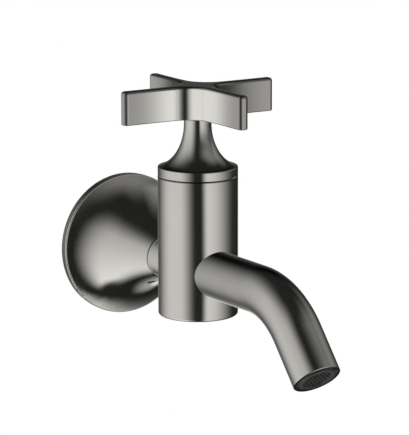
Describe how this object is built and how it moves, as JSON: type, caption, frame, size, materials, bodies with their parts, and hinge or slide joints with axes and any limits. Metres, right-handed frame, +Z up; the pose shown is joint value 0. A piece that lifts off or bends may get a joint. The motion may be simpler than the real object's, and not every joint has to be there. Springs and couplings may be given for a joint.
{
  "type": "wall-mounted tap",
  "caption": "Wall-mounted tap with an upright round body, a cross handle on a slim flared neck, a bell-shaped wall flange and a short round spout bent down.",
  "frame": {"origin": "on the inlet axis, in the plane of the finished wall", "axes": "+Y into the wall along the inlet axis, +Z up along the valve axis, +X to the right for someone who faces the tap"},
  "size_m": [0.0774, 0.1835, 0.1211],
  "materials": {
    "plated_metal": "polished plating in a warm grey, darker than plain chrome",
    "bare_brass": "turned, unplated",
    "stainless_steel": "plain machined",
    "white_ceramic": "lapped ceramic, smooth",
    "black_rubber": "matt moulded rubber",
    "sealing_fibre": "pressed fibre sheet",
    "black_plastic": "moulded, slightly glossy",
    "white_plastic": "moulded acetal"
  },
  "bodies": {
    "tap_body": {"wall_flange": "plated_metal", "flange_seal": "black_rubber", "flange_oring": "black_rubber", "flange_set_screw": "stainless_steel", "inlet_nipple": "plated_metal", "nipple_washer": "sealing_fibre", "valve_body": "plated_metal", "headwork_housing": "bare_brass", "headwork_oring": "black_rubber", "bottom_seal": "black_rubber", "fixed_disc": "white_ceramic", "cap_cover": "plated_metal", "cap_oring": "black_rubber", "neck_bush": "white_plastic", "spout": "plated_metal", "aerator_housing": "black_plastic", "aerator_screen": "black_plastic", "aerator_core": "white_plastic", "flow_regulator": "white_plastic", "regulator_oring": "black_rubber", "aerator_gasket": "black_rubber"},
    "handle": {"handle_cross": "plated_metal", "handle_set_screw": "stainless_steel", "handle_insert": "white_plastic", "spindle_extension": "bare_brass", "extension_screw": "stainless_steel", "spindle": "bare_brass", "spindle_clip": "stainless_steel", "spindle_orings": "black_rubber", "thrust_washer": "white_plastic", "moving_disc": "white_ceramic"}
  },
  "joints": [
    {"name": "handle_turn", "type": "hinge", "parent": "tap_body", "child": "handle", "pos_m": [0, -0.0667, 0.0761], "axis": [0, 0, 1], "range_deg": [0, 90]}
  ]
}
